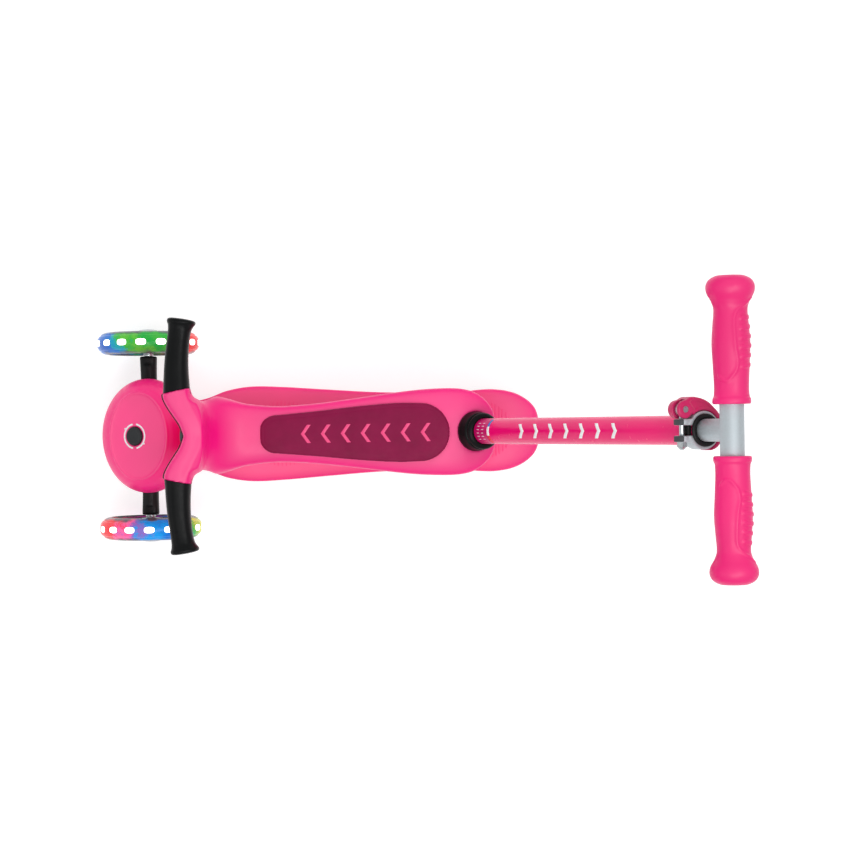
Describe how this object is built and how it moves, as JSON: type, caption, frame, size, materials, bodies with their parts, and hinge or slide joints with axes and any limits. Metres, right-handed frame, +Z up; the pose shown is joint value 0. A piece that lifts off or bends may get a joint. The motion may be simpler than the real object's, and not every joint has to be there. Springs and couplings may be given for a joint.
{
  "type": "kick scooter",
  "caption": "Three-wheel lean-to-steer child's scooter in ride-on mode: saddle with handlebar over the deck, telescopic push bar leaning back, glowing front wheels.",
  "frame": {"origin": "on the floor under the middle of the bounding box", "axes": "+X towards the front wheels, +Y to the rider's left, +Z up"},
  "size_m": [0.6893, 0.28, 0.6224],
  "materials": {
    "pink_deck": "satin moulded plastic with fine grain",
    "pink_shell": "semi-gloss moulded plastic",
    "black_plastic": "satin moulded plastic",
    "dark_core": "satin moulded plastic",
    "black_button": "satin",
    "grey_button": "satin",
    "black_rubber": "satin soft-touch rubber",
    "dark_rubber": "matte elastomer",
    "steel": "bright zinc",
    "silver": "polished and clear anodised",
    "white_print": "printed ring",
    "nylon": "natural nylon",
    "clear_tyre": "clear cast polyurethane",
    "lights": "clear lamp lenses",
    "black_tyre": "cast polyurethane, satin",
    "plum_pad": "fine-grained soft foam skin",
    "pink_tube": "gloss powder coat",
    "berry_lever": "satin moulded plastic",
    "pink_grip": "satin soft-touch rubber"
  },
  "bodies": {
    "deck": {"deck": "pink_deck", "rear_fork": "black_plastic", "front_socket": "black_plastic", "rear_socket": "black_plastic", "kingpin_mount": "black_plastic", "hub_cover": "pink_shell", "cover_screws": "steel", "lock_spring": "steel", "kingpin": "steel", "kingpin_nut": "steel", "rear_axle_bolt": "steel", "rear_axle_nut": "steel", "brake_pin": "steel", "brake_spring": "steel", "lock_mark": "white_print", "steering_bumpers": "dark_rubber"},
    "truck": {"truck_beam": "black_plastic", "truck_bushes": "nylon", "front_axles": "steel"},
    "left_wheel": {"left_tyre": "clear_tyre", "left_core": "dark_core", "left_lights": "lights", "left_bearings": "steel", "left_hub_cap": "silver"},
    "right_wheel": {"right_tyre": "clear_tyre", "right_core": "dark_core", "right_lights": "lights", "right_bearings": "steel", "right_hub_cap": "silver"},
    "rear_wheel": {"rear_tyre": "black_tyre", "rear_core": "nylon", "rear_bearings": "steel"},
    "brake": {"rear_brake": "pink_deck", "brake_plate": "steel"},
    "lock": {"lock_button": "black_button", "lock_pin": "steel"},
    "seat": {"seat_shell": "pink_shell", "seat_base": "pink_shell", "seat_pad": "plum_pad", "seat_screws": "steel", "front_post": "black_plastic", "bar_socket": "black_plastic", "base_collar": "black_rubber", "left_handle_grip": "black_rubber", "right_handle_grip": "black_rubber", "handlebar_core": "black_plastic"},
    "release": {"release_button": "grey_button"},
    "push_bar": {"outer_tube": "pink_tube", "tube_bush": "black_plastic", "clamp_ring": "silver", "clamp_bolt": "steel", "clamp_nut": "steel", "lever_pin": "steel"},
    "lever": {"clamp_lever": "berry_lever"},
    "stem": {"stem_tube": "silver", "stem_guide": "black_plastic", "left_bar_grip": "pink_grip", "right_bar_grip": "pink_grip"}
  },
  "joints": [
    {"name": "steer", "type": "hinge", "parent": "deck", "child": "truck", "pos_m": [0.276, 0, 0.066], "axis": [0.6428, 0, 0.766], "range_deg": [-15, 15], "stiffness_Nm_per_rad": 14},
    {"name": "left_wheel_spin", "type": "hinge", "parent": "truck", "child": "left_wheel", "pos_m": [0.2842, 0.109, 0.0605], "axis": [0, 1, 0], "continuous": true},
    {"name": "right_wheel_spin", "type": "hinge", "parent": "truck", "child": "right_wheel", "pos_m": [0.2842, -0.109, 0.0605], "axis": [0, 1, 0], "continuous": true},
    {"name": "rear_wheel_spin", "type": "hinge", "parent": "deck", "child": "rear_wheel", "pos_m": [-0.1298, 0, 0.04], "axis": [0, 1, 0], "continuous": true},
    {"name": "brake_press", "type": "hinge", "parent": "deck", "child": "brake", "pos_m": [-0.0965, 0, 0.076], "axis": [0, -1, 0], "range_deg": [0, 5], "stiffness_Nm_per_rad": 2.5, "springref_deg": -5.73},
    {"name": "lock_press", "type": "slide", "parent": "deck", "child": "lock", "axis": [-0.4384, 0, -0.8988], "range_m": [0, 0.0035], "stiffness_N_per_m": 900, "springref_m": -0.002},
    {"name": "seat_lift", "type": "slide", "parent": "deck", "child": "seat", "axis": [0, 0, 1], "range_m": [0, 0.1]},
    {"name": "release_press", "type": "slide", "parent": "seat", "child": "release", "axis": [-1, 0, 0], "range_m": [0, 0.0025], "stiffness_N_per_m": 700, "springref_m": -0.002},
    {"name": "bar_lift", "type": "slide", "parent": "seat", "child": "push_bar", "axis": [-0.5, 0, 0.866], "range_m": [0, 0.1]},
    {"name": "lever_open", "type": "hinge", "parent": "push_bar", "child": "lever", "pos_m": [-0.28051, -0.0195, 0.5698], "axis": [-0.5, 0, 0.866], "range_deg": [0, 120]},
    {"name": "stem_slide", "type": "slide", "parent": "push_bar", "child": "stem", "axis": [-0.5, 0, 0.866], "range_m": [0, 0.1]}
  ]
}
